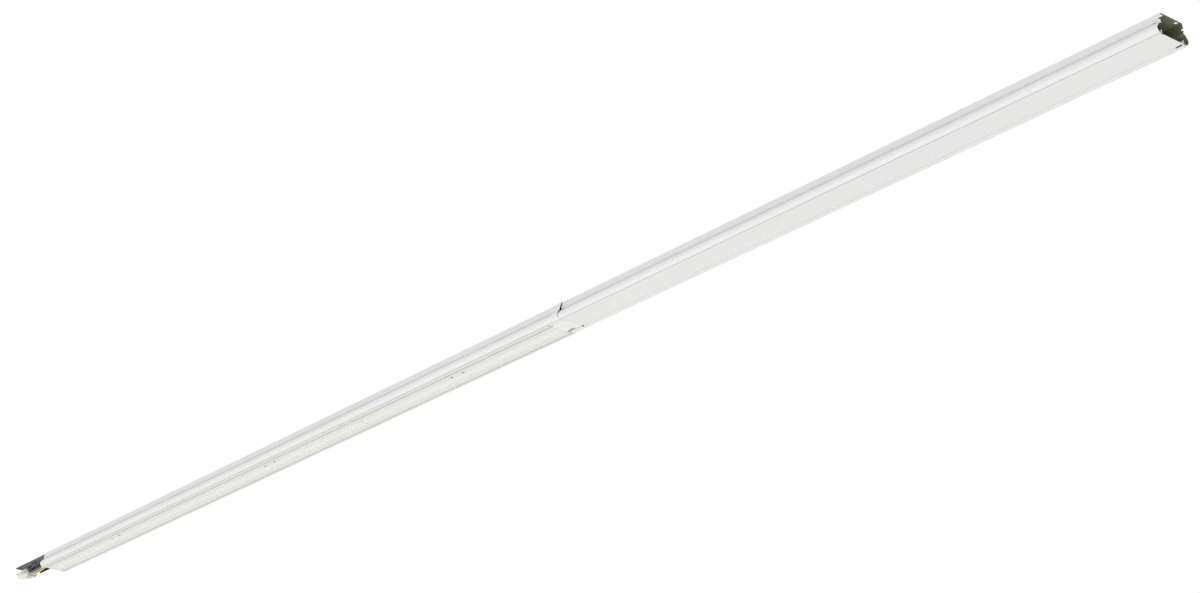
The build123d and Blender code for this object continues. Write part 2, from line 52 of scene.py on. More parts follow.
# ---- camera, floor and light --------------------------------------------------------
CAMERA_YAW = math.radians(39.20)        # between the line of sight and the row, seen from above
CAMERA_PITCH = math.radians(23.01)      # the camera looks up
CAMERA_FROM_OPEN_END = Vector((1.4331, -2.0359, -1.3741))
LENS_MM = 70.12
SENSOR_MM = 36.0
LENS_SHIFT = (0.0011, 0.00025)
FLOOR_LEVEL = -7.0
SKY_DIMS_FROM = 0.62                    # height of the direction, above which the sky is dimmer
SKY_OVERHEAD = 0.92
PANEL_PLACE = (0.0, -2.0, -3.9)
PANEL_SIZE = (13.0, 3.0)
PANEL_WATTS = 155.0
FLOOR_REACH = 90.0


def link(obj):
    """Put an object into the scene."""
    bpy.context.scene.collection.objects.link(obj)
    return obj


def make_camera():
    """A long lens below and in front of the row, near its open end, looking up along it."""
    flat = math.cos(CAMERA_PITCH)
    forward = Vector((-math.cos(CAMERA_YAW) * flat, math.sin(CAMERA_YAW) * flat, math.sin(CAMERA_PITCH)))
    data = bpy.data.cameras.new("camera")
    data.sensor_width = SENSOR_MM
    data.lens = LENS_MM
    data.shift_x, data.shift_y = LENS_SHIFT
    data.clip_end = 200.0
    camera = link(bpy.data.objects.new("camera", data))
    open_end = Vector((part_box("short_trunk_section")[1].x, 0, 0))
    camera.location = open_end + CAMERA_FROM_OPEN_END
    camera.rotation_mode = "QUATERNION"
    camera.rotation_quaternion = forward.to_track_quat("-Z", "Y")
    bpy.context.scene.camera = camera


def area_light(name, place, size, watts):
    """A soft panel of light aimed at the middle of the row, left out of the picture itself."""
    data = bpy.data.lights.new(name, "AREA")
    data.shape = "RECTANGLE"
    data.size, data.size_y = size
    data.energy = watts
    light = link(bpy.data.objects.new(name, data))
    light.location = place
    light.rotation_mode = "QUATERNION"
    light.rotation_quaternion = (Vector((0, 0, 0)) - Vector(place)).to_track_quat("-Z", "Y")
    light.visible_camera = False


def make_surroundings():
    """A white studio, a little dimmer overhead, one long soft panel from below and a pale floor."""
    world = bpy.data.worlds.new("studio")
    world.use_nodes = True
    tree = world.node_tree
    background = tree.nodes["Background"]
    background.inputs["Color"].default_value = (1.0, 1.0, 1.0, 1.0)
    direction = tree.nodes.new("ShaderNodeTexCoord")
    height = tree.nodes.new("ShaderNodeSeparateXYZ")
    dimming = tree.nodes.new("ShaderNodeMapRange")
    dimming.inputs["From Min"].default_value = SKY_DIMS_FROM
    dimming.inputs["To Min"].default_value = 1.0
    dimming.inputs["To Max"].default_value = SKY_OVERHEAD
    tree.links.new(direction.outputs["Generated"], height.inputs["Vector"])
    tree.links.new(height.outputs["Z"], dimming.inputs["Value"])
    tree.links.new(dimming.outputs["Result"], background.inputs["Strength"])
    bpy.context.scene.world = world
    bpy.context.scene.view_settings.view_transform = "Standard"
    area_light("panel_below", PANEL_PLACE, PANEL_SIZE, PANEL_WATTS)
    mesh = bpy.data.meshes.new("floor")
    low, high = -FLOOR_REACH, FLOOR_REACH
    corners = [(low, low, 0), (high, low, 0), (high, high, 0), (low, high, 0)]
    mesh.from_pydata(corners, [], [(0, 1, 2, 3)])
    floor = link(bpy.data.objects.new("floor", mesh))
    floor.location.z = FLOOR_LEVEL
    mesh.materials.append(plain_floor())


# ---- material helpers ---------------------------------------------------------------
class Paint:
    """One procedural material: a Principled shader and short calls that feed it."""

    def __init__(self, name, colour, roughness, metallic=0.0, **constants):
        self.material = bpy.data.materials.new(name)
        self.material.use_nodes = True
        self.tree = self.material.node_tree
        self.shader = self.tree.nodes["Principled BSDF"]
        self.shader.inputs["Base Color"].default_value = (*colour, 1.0)
        self.shader.inputs["Roughness"].default_value = roughness
        self.shader.inputs["Metallic"].default_value = metallic
        for socket, value in constants.items():
            self.shader.inputs[socket.replace("_", " ")].default_value = value
        self.place = self.add("ShaderNodeTexCoord").outputs["Object"]

    def add(self, kind, **settings):
        """A new node with some of its settings."""
        node = self.tree.nodes.new(kind)
        for name, value in settings.items():
            setattr(node, name, value)
        return node

    def join(self, source, target):
        """A link between two sockets."""
        self.tree.links.new(source, target)

    def noise(self, scale, detail=3.0, stretch=None):
        """A noise value over the surface, drawn out along an axis if asked."""
        node = self.add("ShaderNodeTexNoise")
        node.inputs["Scale"].default_value = scale
        node.inputs["Detail"].default_value = detail
        place = self.place
        if stretch:
            mapping = self.add("ShaderNodeMapping")
            mapping.inputs["Scale"].default_value = stretch
            self.join(place, mapping.inputs["Vector"])
            place = mapping.outputs["Vector"]
        self.join(place, node.inputs["Vector"])
        return node.outputs["Fac"]

    def cells(self, scale):
        """A value that differs from one small crystal-like cell to the next."""
        node = self.add("ShaderNodeTexVoronoi")
        node.inputs["Scale"].default_value = scale
        self.join(self.place, node.inputs["Vector"])
        split = self.add("ShaderNodeSeparateColor")
        self.join(node.outputs["Color"], split.inputs["Color"])
        return split.outputs["Red"]

    def math(self, operation, first, second):
        """One sum on sockets or numbers."""
        node = self.add("ShaderNodeMath", operation=operation)
        for socket, value in zip(node.inputs, (first, second)):
            if isinstance(value, (int, float)):
                socket.default_value = value
            else:
                self.join(value, socket)
        return node.outputs["Value"]

    def blend(self, factor, low, high):
        """A colour between two, each a socket or a colour."""
        node = self.add("ShaderNodeMix", data_type="RGBA")
        self.join(factor, node.inputs[0])
        for socket, value in ((node.inputs[6], low), (node.inputs[7], high)):
            if isinstance(value, tuple):
                socket.default_value = (*value, 1.0)
            else:
                self.join(value, socket)
        return node.outputs[2]

    def ramp(self, value, low, high):
        """A value stretched so that low becomes 0 and high becomes 1."""
        node = self.add("ShaderNodeMapRange")
        node.inputs["From Min"].default_value = low
        node.inputs["From Max"].default_value = high
        self.join(value, node.inputs["Value"])
        return node.outputs["Result"]

    def between(self, value, low, high):
        """A 0 to 1 value mapped onto a range."""
        node = self.add("ShaderNodeMapRange")
        node.inputs["To Min"].default_value = low
        node.inputs["To Max"].default_value = high
        self.join(value, node.inputs["Value"])
        return node.outputs["Result"]

    def colour(self, socket):
        self.join(socket, self.shader.inputs["Base Color"])

    def roughness(self, socket):
        self.join(socket, self.shader.inputs["Roughness"])

    def bump(self, height, distance, strength=1.0):
        """Raise the surface by a height value, to a real depth in metres."""
        node = self.add("ShaderNodeBump")
        node.inputs["Strength"].default_value = strength
        node.inputs["Distance"].default_value = distance
        self.join(height, node.inputs["Height"])
        self.join(node.outputs["Normal"], self.shader.inputs["Normal"])

    def axis(self, vector, name):
        """One component of a vector socket."""
        node = self.add("ShaderNodeSeparateXYZ")
        self.join(vector, node.inputs["Vector"])
        return node.outputs[name]

    def looks_up(self):
        """1 on faces that look up, 0 on the others."""
        geometry = self.add("ShaderNodeNewGeometry")
        return self.math("GREATER_THAN", self.axis(geometry.outputs["Normal"], "Z"), 0.6)

    def inside_section(self):
        """1 on faces that look in at the middle of the hollow section, 0 on its outside."""
        geometry = self.add("ShaderNodeNewGeometry")
        y, z = self.axis(self.place, "Y"), self.axis(self.place, "Z")
        normal_y = self.axis(geometry.outputs["Normal"], "Y")
        normal_z = self.axis(geometry.outputs["Normal"], "Z")
        middle = (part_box("short_trunk_section")[0].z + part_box("short_trunk_section")[1].z) / 2
        across = self.math("MULTIPLY", y, normal_y)
        upward = self.math("MULTIPLY", self.math("SUBTRACT", z, middle), normal_z)
        return self.math("LESS_THAN", self.math("ADD", across, upward), -0.0004)


def plain_floor():
    paint = Paint("floor_paint", (0.8, 0.8, 0.79), 0.7)
    paint.colour(paint.blend(paint.noise(0.6), (0.78, 0.78, 0.77), (0.82, 0.82, 0.81)))
    return paint.material


# ---- the row's materials ------------------------------------------------------------
WHITE = (0.713, 0.718, 0.713)
FORWARD_FACE_PAINTED_SHADE = 0.6                     # how much the painted shade darkens the inner tones on inner faces that look forward


def powder_coat(name, inner=None, mask="inside_section"):
    """Fine-textured white powder coat; if asked, the hollow side is painted dark olive, partly its darker
    inside coat and partly painted shade, with more painted shade on inner faces that look forward.
    """
    paint = Paint(name, WHITE, 0.42, IOR=1.45)
    drift = paint.noise(2.5, 2.0, (1, 6, 6))
    coat = paint.blend(drift, (0.68, 0.685, 0.68), (0.742, 0.747, 0.742))
    speckle = paint.ramp(paint.noise(700.0, 2.0), 0.35, 0.7)
    coat = paint.blend(paint.math("MULTIPLY", speckle, 0.10), coat, (0.64, 0.645, 0.635))
    if inner:
        inner_tone_and_shade = paint.blend(paint.noise(60.0), inner[0], inner[1])
        # painted shade: a darker copy of the inner tones, blended in on inner faces that look forward
        shaded = paint.blend(paint.noise(60.0), *[tuple(FORWARD_FACE_PAINTED_SHADE * c for c in tone) for tone in inner])
        facing = paint.axis(paint.add("ShaderNodeNewGeometry").outputs["Normal"], "Y")
        inner_tone_and_shade = paint.blend(paint.ramp(facing, -0.2, -0.8), inner_tone_and_shade, shaded)
        # the mask picks the faces that take the inner tones and their painted shade
        coat = paint.blend(getattr(paint, mask)(), coat, inner_tone_and_shade)
    paint.colour(coat)
    paint.roughness(paint.between(paint.noise(40.0), 0.36, 0.50))
    paint.bump(paint.noise(1400.0, 2.0), 0.00004, 0.5)
    return paint.material


def galvanised():
    """Dark hot-dip zinc with its crystal spangle and rolling lines."""
    paint = Paint("galvanised_steel", (0.09, 0.09, 0.088), 0.45, 0.75)
    spangle = paint.cells(260.0)
    lines = paint.noise(500.0, 2.0, (0.06, 1, 1))
    mixed = paint.math("ADD", paint.math("MULTIPLY", spangle, 0.7), paint.math("MULTIPLY", lines, 0.3))
    paint.colour(paint.blend(mixed, (0.045, 0.047, 0.045), (0.14, 0.142, 0.138)))
    paint.roughness(paint.between(spangle, 0.32, 0.58))
    paint.bump(lines, 0.00003, 0.5)
    return paint.material


def bright_metal(name, dark, light, rough, grain=900.0):
    """Plated or rolled metal with fine drawn lines."""
    paint = Paint(name, light, rough, 1.0)
    lines = paint.noise(grain, 3.0, (0.1, 1, 1))
    paint.colour(paint.blend(lines, dark, light))
    paint.roughness(paint.between(paint.noise(200.0), rough - 0.08, rough + 0.1))
    paint.bump(lines, 0.00001, 0.6)
    return paint.material


def moulded(name, low, high, rough=0.42, grain=600.0, soft=0.0):
    """Moulded plastic: faint flow marks and a fine eroded texture."""
    paint = Paint(name, high, rough, 0.0, Subsurface_Weight=soft, Subsurface_Radius=(0.003, 0.003, 0.002))
    paint.shader.inputs["Subsurface Scale"].default_value = 1.0
    paint.colour(paint.blend(paint.noise(35.0, 4.0), low, high))
    paint.roughness(paint.between(paint.noise(120.0), rough - 0.06, rough + 0.08))
    paint.bump(paint.noise(grain, 2.0), 0.00003, 0.5)
    return paint.material


def cable_skin(name, low, high):
    """PVC insulation with a slight drawn sheen along the wire."""
    paint = Paint(name, high, 0.38, Coat_Weight=0.15, Coat_Roughness=0.2)
    drawn = paint.noise(300.0, 2.0, (0.05, 1, 1))
    paint.colour(paint.blend(drawn, low, high))
    paint.roughness(paint.between(paint.noise(90.0), 0.32, 0.46))
    paint.bump(drawn, 0.00002, 0.5)
    return paint.material


def earth_skin():
    """Green and yellow insulation, in lengthwise stripes."""
    paint = Paint("pvc_green_yellow", (0.5, 0.6, 0.1), 0.38, Coat_Weight=0.15, Coat_Roughness=0.2)
    up = paint.axis(paint.add("ShaderNodeNewGeometry").outputs["Normal"], "Z")
    wander = paint.math("SUBTRACT", paint.noise(12.0, 1.0), 0.5)
    stripe = paint.ramp(paint.math("ADD", up, wander), -0.35, -0.25)
    green = paint.blend(paint.noise(250.0), (0.05, 0.22, 0.04), (0.08, 0.3, 0.06))
    yellow = paint.blend(paint.noise(250.0), (0.72, 0.6, 0.05), (0.85, 0.72, 0.08))
    paint.colour(paint.blend(stripe, yellow, green))
    paint.bump(paint.noise(400.0, 2.0, (0.05, 1, 1)), 0.00002, 0.5)
    return paint.material


SEAM_SHADE_MIDDLE = 19.6 * MM                 # middle of the painted shade along the seam's groove, a darker line
SEAM_SHADE_HALF_WIDTH = 0.7 * MM


def lens_acrylic():
    """Slightly green, half clear moulded acrylic."""
    paint = Paint("lens_plastic", (0.80, 0.825, 0.765), 0.22, 0.0, Transmission_Weight=0.12, IOR=1.49,
                  Coat_Weight=0.2, Coat_Roughness=0.1)
    flow = paint.noise(18.0, 3.0, (0.35, 1, 1))
    away = paint.math("ABSOLUTE", paint.axis(paint.place, "Y"), 0.0)
    over_board = paint.ramp(away, 0.019, 0.001)
    side = paint.blend(flow, (0.695, 0.708, 0.665), (0.75, 0.76, 0.717))
    middle = paint.blend(flow, (0.81, 0.825, 0.772), (0.868, 0.878, 0.83))
    body = paint.blend(over_board, side, middle)
    # painted shade: a darker line along the seam groove on each side of the lens
    off_seam = paint.math("ABSOLUTE", paint.math("SUBTRACT", away, SEAM_SHADE_MIDDLE), 0.0)
    seam_shade = paint.math("LESS_THAN", off_seam, SEAM_SHADE_HALF_WIDTH)
    paint.colour(paint.blend(seam_shade, body, (0.54, 0.55, 0.51)))
    paint.roughness(paint.between(paint.noise(220.0), 0.14, 0.30))
    paint.bump(paint.noise(500.0, 2.0), 0.00003, 0.5)
    return paint.material


def board_mask():
    """White solder mask with faint copper tracks along the strip."""
    paint = Paint("board_white", (0.82, 0.84, 0.8), 0.3, Coat_Weight=0.3, Coat_Roughness=0.15)
    y = paint.axis(paint.place, "Y")
    track = paint.math("LESS_THAN", paint.math("PINGPONG", paint.math("ADD", y, 0.0011), 0.0028), 0.0006)
    ground = paint.blend(paint.noise(80.0), (0.80, 0.82, 0.78), (0.85, 0.87, 0.83))
    paint.colour(paint.blend(paint.math("MULTIPLY", track, 0.5), ground, (0.66, 0.70, 0.6)))
    paint.bump(track, 0.00003, 0.6)
    return paint.material


def phosphor():
    """The yellow resin over an LED chip."""
    paint = Paint("led_phosphor", (0.85, 0.72, 0.22), 0.3, Subsurface_Weight=0.2)
    paint.colour(paint.blend(paint.noise(1500.0), (0.8, 0.62, 0.12), (0.9, 0.8, 0.34)))
    paint.bump(paint.noise(2500.0), 0.00001, 0.5)
    return paint.material


def make_materials():
    """Every slot of the record, by name."""
    # dark olive for the trunk's inside: partly its darker inside coat, partly painted shade
    olive = ((0.21, 0.218, 0.139), (0.28, 0.288, 0.2))
    # painted shade: a pale olive for the cover's up-facing inner faces, which are white like the rest of the
    # cover
    cover_painted_shade = ((0.30, 0.31, 0.22), (0.38, 0.39, 0.29))
    return {
        "white_steel": powder_coat("white_steel"),
        "white_trunk": powder_coat("white_trunk", olive),
        # the cover's up-facing faces take the pale olive painted shade
        "white_cover": powder_coat("white_cover", cover_painted_shade, "looks_up"),
        "galvanised_steel": galvanised(),
        "rivet_steel": bright_metal("rivet_steel", (0.32, 0.32, 0.31), (0.55, 0.55, 0.54), 0.32),
        "spring_steel": bright_metal("spring_steel", (0.22, 0.22, 0.23), (0.42, 0.42, 0.43), 0.28),
        "brass": bright_metal("brass", (0.55, 0.42, 0.16), (0.75, 0.6, 0.28), 0.25),
        "ivory_plastic": moulded("ivory_plastic", (0.70, 0.70, 0.60), (0.78, 0.78, 0.67), 0.42, soft=0.1),
        "ivory_shade": moulded("ivory_shade", (0.50, 0.50, 0.42), (0.58, 0.58, 0.49), 0.5),
        "white_plastic": moulded("white_plastic", (0.74, 0.74, 0.70), (0.80, 0.80, 0.76), 0.4, soft=0.08),
        "grey_plastic": moulded("grey_plastic", (0.055, 0.057, 0.05), (0.10, 0.102, 0.09), 0.5),
        # painted shade: a pale grey for the white plastic in the shade of the tool pocket's recess
        "pocket_shade_grey": moulded("pocket_shade_grey", (0.40, 0.40, 0.385), (0.48, 0.48, 0.46), 0.5),
        "orange_plastic": moulded("orange_plastic", (0.62, 0.16, 0.02), (0.74, 0.22, 0.03), 0.4),
        "driver_case": moulded("driver_case", (0.64, 0.65, 0.64), (0.71, 0.72, 0.71), 0.45, 350.0),
        "lens_plastic": lens_acrylic(),
        "board_white": board_mask(),
        "led_phosphor": phosphor(),
        "pvc_violet": cable_skin("pvc_violet", (0.11, 0.08, 0.19), (0.17, 0.13, 0.27)),
        "pvc_brown": cable_skin("pvc_brown", (0.09, 0.035, 0.018), (0.15, 0.06, 0.03)),
        "pvc_black": cable_skin("pvc_black", (0.008, 0.008, 0.009), (0.02, 0.02, 0.022)),
        "pvc_grey": cable_skin("pvc_grey", (0.16, 0.165, 0.18), (0.24, 0.245, 0.26)),
        "pvc_blue": cable_skin("pvc_blue", (0.04, 0.08, 0.20), (0.07, 0.13, 0.30)),
        "pvc_pink": cable_skin("pvc_pink", (0.55, 0.35, 0.40), (0.66, 0.44, 0.49)),
        "pvc_green_yellow": earth_skin(),
    }


materials = make_materials()
SPECIAL = {
    "long_trunk_section": "white_trunk",
    "short_trunk_section": "white_trunk",
    "blank_cover": "white_cover",
    # the tool pocket takes the painted shade grey
    "tool_pocket": "pocket_shade_grey",
}


def paint_cad_nodes():
    """Give each carried-over CAD node the procedural material of its slot."""
    for entry in frame["record"]["subparts"]:
        node = nodes[entry["node"]]
        name = SPECIAL.get(entry["node"], entry["material_slot"])
        node.data.materials.clear()
        node.data.materials.append(materials[name])


# ---- mesh helpers -------------------------------------------------------------------
def piece(name, body, slot, bm, smooth_angle=35.0, stands_for=(), extra=()):
    """Turn a bmesh into an object that rides on a body and takes a slot's material."""
    bmesh.ops.recalc_face_normals(bm, faces=bm.faces)
    mesh = bpy.data.meshes.new(name)
    bm.to_mesh(mesh)
    bm.free()
    for slot_name in (slot, *extra):
        mesh.materials.append(materials[slot_name])
    obj = link(bpy.data.objects.new(name, mesh))
    mesh.shade_smooth()
    mesh.set_sharp_from_angle(angle=math.radians(smooth_angle))
    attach(obj, body)
    if stands_for:
        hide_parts(*stands_for)
    return obj


def add_block(bm, x, y, z, round_by=0.0, segments=2, index=0):
    """A bevelled block between limits, in metres."""
    centre = Vector([(low + high) / 2 for low, high in (x, y, z)])
    size = [high - low for low, high in (x, y, z)]
    matrix = Matrix.Translation(centre) @ Matrix.Diagonal((*size, 1.0))
    made = bmesh.ops.create_cube(bm, size=1.0, matrix=matrix)
    corners = made["verts"]
    faces = {face for corner in corners for face in corner.link_faces}
    for face in faces:
        face.material_index = index
    if round_by:
        edges = list({edge for corner in corners for edge in corner.link_edges})
        bmesh.ops.bevel(bm, geom=edges, offset=round_by, segments=segments, profile=0.5, affect="EDGES")


def turned_rings(bm, centre, profile, segments):
    """One ring of points about a vertical axis for each (radius, height) of a profile."""
    rings = []
    for radius, height in profile:
        ring = []
        for step in range(segments):
            angle = 2 * math.pi * step / segments
            offset = Vector((radius * math.cos(angle), radius * math.sin(angle), height))
            ring.append(bm.verts.new(centre + offset))
        rings.append(ring)
    return rings


def add_turned(bm, centre, profile, segments=32, index=0):
    """A solid turned about a vertical axis, from (radius, height) points, top to bottom."""
    rings = turned_rings(bm, centre, profile, segments)
    faces = []
    for upper, lower in zip(rings, rings[1:]):
        for step in range(segments):
            following = (step + 1) % segments
            faces.append(bm.faces.new((upper[step], upper[following], lower[following], lower[step])))
    faces.append(bm.faces.new(rings[0]))
    faces.append(bm.faces.new(rings[-1]))
    for face in faces:
        face.material_index = index


# ---- lenses and LEDs ----------------------------------------------------------------
LED_COUNT = 28
LED_HALF_LENGTH = 1.6 * MM
WING_HALF_WIDTH = 25.2 * MM
INNER_HALF_WIDTH = 17.9 * MM
SEAM = (19.0 * MM, 20.2 * MM)           # the fine channel along each side of the lens
SEAM_DEPTH = 1.1 * MM
FIELD_DEPTH = 0.25 * MM
DOME_BED = 0.75 * MM
DOME_HALF_LENGTH = 8.2 * MM
DOME_HALF_WIDTH = 7.4 * MM
RIB_DEPTH = 0.22 * MM
EDGE = 0.5 * MM
WING_RISE = 1.45 * MM                   # heights above the lens's lowest level
FLOOR_RISE = 2.3 * MM
WALL_RISE = 6.35 * MM
WALL_THICKNESS = 1.2 * MM
SCREW_PITCH = 15 * MM


def led_places(number):
    """The middle of each LED along the row on one board, and half an LED's width."""
    low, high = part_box(f"leds_{number}")
    first = low.x + LED_HALF_LENGTH
    last = high.x - LED_HALF_LENGTH
    return [first + (last - first) * step / (LED_COUNT - 1) for step in range(LED_COUNT)], (high.y - low.y) / 2


def lens_depth(x, y, ends, domes):
    """How far the lens's lower face is let in from its lowest level, at a point of the face."""
    away = abs(y)
    rim = min(WING_HALF_WIDTH - away, x - ends[0], ends[1] - x)
    rounding = max(0.0, EDGE - rim)
    if rim < EDGE:
        return rounding
    if SEAM[0] < away < SEAM[1]:
        return SEAM_DEPTH
    nearest = min(domes, key=lambda place: abs(place - x))
    reach = math.hypot((x - nearest) / DOME_HALF_LENGTH, y / DOME_HALF_WIDTH)
    if reach < 1.0:
        swell = (1.0 - reach ** 2.4) ** 0.75
        dimple = 0.22 * math.exp(-(reach / 0.28) ** 2)
        return DOME_BED * (1.0 - swell + dimple)
    if away < DOME_HALF_WIDTH + 1.0 * MM:
        return DOME_BED
    return FIELD_DEPTH


def across_stations():
    """Where the lens is cut across its width, with the height of the fine ribs there."""
    half = [(value * MM, 0.0) for value in (0.0, 1.4, 2.8, 4.0, 5.1, 6.0, 6.7, 7.2, 7.5, 8.3)]
    for rib in range(5):
        start = 8.5 + 2.0 * rib
        half += [(start * MM, 0.0), ((start + 1.0) * MM, RIB_DEPTH)]
    half += [(18.6 * MM, 0.0), (18.95 * MM, 0.0), (19.05 * MM, 0.0), (20.15 * MM, 0.0), (20.25 * MM, 0.0)]
    half += [(21.6 * MM, RIB_DEPTH), (22.9 * MM, 0.0), (24.7 * MM, 0.0), (24.95 * MM, 0.0)]
    half += [(WING_HALF_WIDTH, 0.0)]
    return [(-y, rib) for y, rib in reversed(half[1:])] + half


def along_stations(ends, domes):
    """Where the lens is cut along its length: evenly, with finer cuts at its ends."""
    step = (domes[1] - domes[0]) / 12
    before = int((domes[0] - ends[0] - EDGE) / step)
    count = int((ends[1] - EDGE - domes[0]) / step) + before
    inner = [domes[0] + step * (index - before) for index in range(count + 1)]
    inner = [x for x in inner if ends[0] + 1.5 * EDGE < x < ends[1] - 1.5 * EDGE]
    start = [ends[0], ends[0] + 0.5 * EDGE, ends[0] + EDGE]
    finish = [ends[1] - EDGE, ends[1] - 0.5 * EDGE, ends[1]]
    return start + inner + finish


def make_lens(number):
    """The moulded lens over one board: a row of oval lenses between fine lengthwise prisms."""
    low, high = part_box(f"lens_plate_{number}")
    wing_top, wall_top = low.z + WING_RISE, low.z + WALL_RISE
    ends = (low.x, high.x)
    domes, _ = led_places(number)
    along, across = along_stations(ends, domes), across_stations()
    wall_inside = INNER_HALF_WIDTH - WALL_THICKNESS
    back_line = [(WING_HALF_WIDTH, wing_top), (INNER_HALF_WIDTH, wing_top), (INNER_HALF_WIDTH, wall_top),
                 (wall_inside, wall_top), (wall_inside, low.z + FLOOR_RISE)]
    back_line = back_line + [(-y, z) for y, z in reversed(back_line)]
    bm = bmesh.new()
    rows = []
    for x in along:
        face_line = [(y, low.z + lens_depth(x, y, ends, domes) + rib) for y, rib in across]
        rows.append([bm.verts.new((x, y, z)) for y, z in face_line + back_line])
    count = len(rows[0])
    for near, far in zip(rows, rows[1:]):
        for step in range(count):
            after = (step + 1) % count
            bm.faces.new((near[step], far[step], far[after], near[after]))
    bm.faces.new(rows[0])
    bm.faces.new(rows[-1])
    screw_low, screw_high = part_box("lens_screws")
    boss_y = (screw_low.y + screw_high.y) / 2
    middle = (domes[0] + domes[-1]) / 2
    for side in (-1, 1):
        centre = Vector((middle + side * SCREW_PITCH, boss_y, low.z))
        rim = [(2.9, 1.6), (2.9, 0.25), (3.1, 0.05), (3.9, 0.05), (4.3, 0.35), (4.3, 1.6)]
        add_ring(bm, centre, [(radius * MM, height * MM) for radius, height in rim])
    return piece(f"lens_{number}", "tray", "lens_plastic", bm, 28.0, (f"lens_plate_{number}",))


def add_ring(bm, centre, profile, segments=32):
    """A ring turned about a vertical axis from a closed (radius, height) outline."""
    rings = turned_rings(bm, centre, profile, segments)
    for this, following in zip(rings, rings[1:] + rings[:1]):
        for step in range(segments):
            after = (step + 1) % segments
            bm.faces.new((this[step], this[after], following[after], following[step]))


def make_leds(number):
    """A row of LED packages: white frames with yellow resin set into them."""
    low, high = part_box(f"leds_{number}")
    places, half_width = led_places(number)
    bm = bmesh.new()
    for x in places:
        limits = ((x - LED_HALF_LENGTH, x + LED_HALF_LENGTH), (-half_width, half_width))
        add_block(bm, *limits, (low.z + 0.06 * MM, high.z), 0.14 * MM)
        resin = [(1.15, 0.3), (1.15, 0.06), (0.95, 0.01), (0.5, 0.0)]
        add_turned(bm, Vector((x, 0, low.z)), [(r * MM, h * MM) for r, h in resin], 20, 1)
        add_block(bm, (x + 5 * MM, x + 7 * MM), (4.2 * MM, 5.4 * MM), (low.z + 0.2 * MM, high.z), 0.1 * MM, 1)
    return piece(f"led_row_{number}", "tray", "board_white", bm, 35.0, (f"leds_{number}",), ("led_phosphor",))


# ---- fasteners ----------------------------------------------------------------------
def add_pan_screw(bm, centre, head_radius, head_height, shank_radius, shank_length, up):
    """A pan-head screw with its cross recess drawn as a thin dark cross on the head (painted shade). up is 1
    if its head is on top, -1 if below.
    """
    rim = [(0.0, 0.92), (0.45, 1.0), (0.8, 0.9), (0.95, 0.62), (1.0, 0.3), (1.0, 0.0)]
    profile = [(max(r, 0.02) * head_radius, up * h * head_height) for r, h in rim]
    profile += [(shank_radius, 0.0), (shank_radius, -up * shank_length)]
    if up < 0:
        profile = profile[::-1]
    add_turned(bm, centre, profile, 28)
    tip = centre.z + up * head_height
    # painted shade: the cross recess is a thin dark cross laid on the head, not cut into it
    for turn in (0, 1):
        arm = (0.52 * head_radius, 0.13 * head_radius)
        x, y = (arm if turn else arm[::-1])
        z = sorted((tip - up * 0.02 * head_height, tip + up * 0.06 * head_height))
        add_block(bm, (centre.x - x, centre.x + x), (centre.y - y, centre.y + y), z, 0.0, 1, 1)


def make_lens_screws():
    """The pair of pan-head screws at the middle of each lens."""
    low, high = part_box("lens_screws")
    head_radius, head_height = (high.y - low.y) / 2, 1.05 * MM
    y = (low.y + high.y) / 2
    bm = bmesh.new()
    for number in (1, 2, 3):
        places, _ = led_places(number)
        middle = (places[0] + places[-1]) / 2
        for side in (-1, 1):
            centre = Vector((middle + side * SCREW_PITCH, y, low.z + head_height))
            add_pan_screw(bm, centre, head_radius, head_height, 1.4 * MM, high.z - centre.z, -1)
    # dark grey for the painted shade of the cross recesses
    return piece("lens_screw_set", "tray", "rivet_steel", bm, 40.0, ("lens_screws",), ("grey_plastic",))


# ---- plug ---------------------------------------------------------------------------
def rounded_ring(bm, x, half_width, z, radius, steps=5):
    """A ring of points round a rounded rectangle across the row."""
    corners = [(half_width - radius, z[1] - radius, 0), (-half_width + radius, z[1] - radius, 90),
               (-half_width + radius, z[0] + radius, 180), (half_width - radius, z[0] + radius, 270)]
    ring = []
    for y_centre, z_centre, start in corners:
        for step in range(steps + 1):
            angle = math.radians(start + 90 * step / steps)
            y, z = y_centre + radius * math.cos(angle), z_centre + radius * math.sin(angle)
            ring.append(bm.verts.new((x, y, z)))
    return ring


def add_loft(bm, stations, index=0):
    """A closed body through rounded rectangles: (x, half width, (z low, z high), corner radius)."""
    rings = [rounded_ring(bm, x, *rest) for x, *rest in stations]
    faces = []
    for this, following in zip(rings, rings[1:]):
        for step in range(len(this)):
            after = (step + 1) % len(this)
            faces.append(bm.faces.new((this[step], this[after], following[after], following[step])))
    faces.append(bm.faces.new(rings[0]))
    faces.append(bm.faces.new(rings[-1]))
    for face in faces:
        face.material_index = index


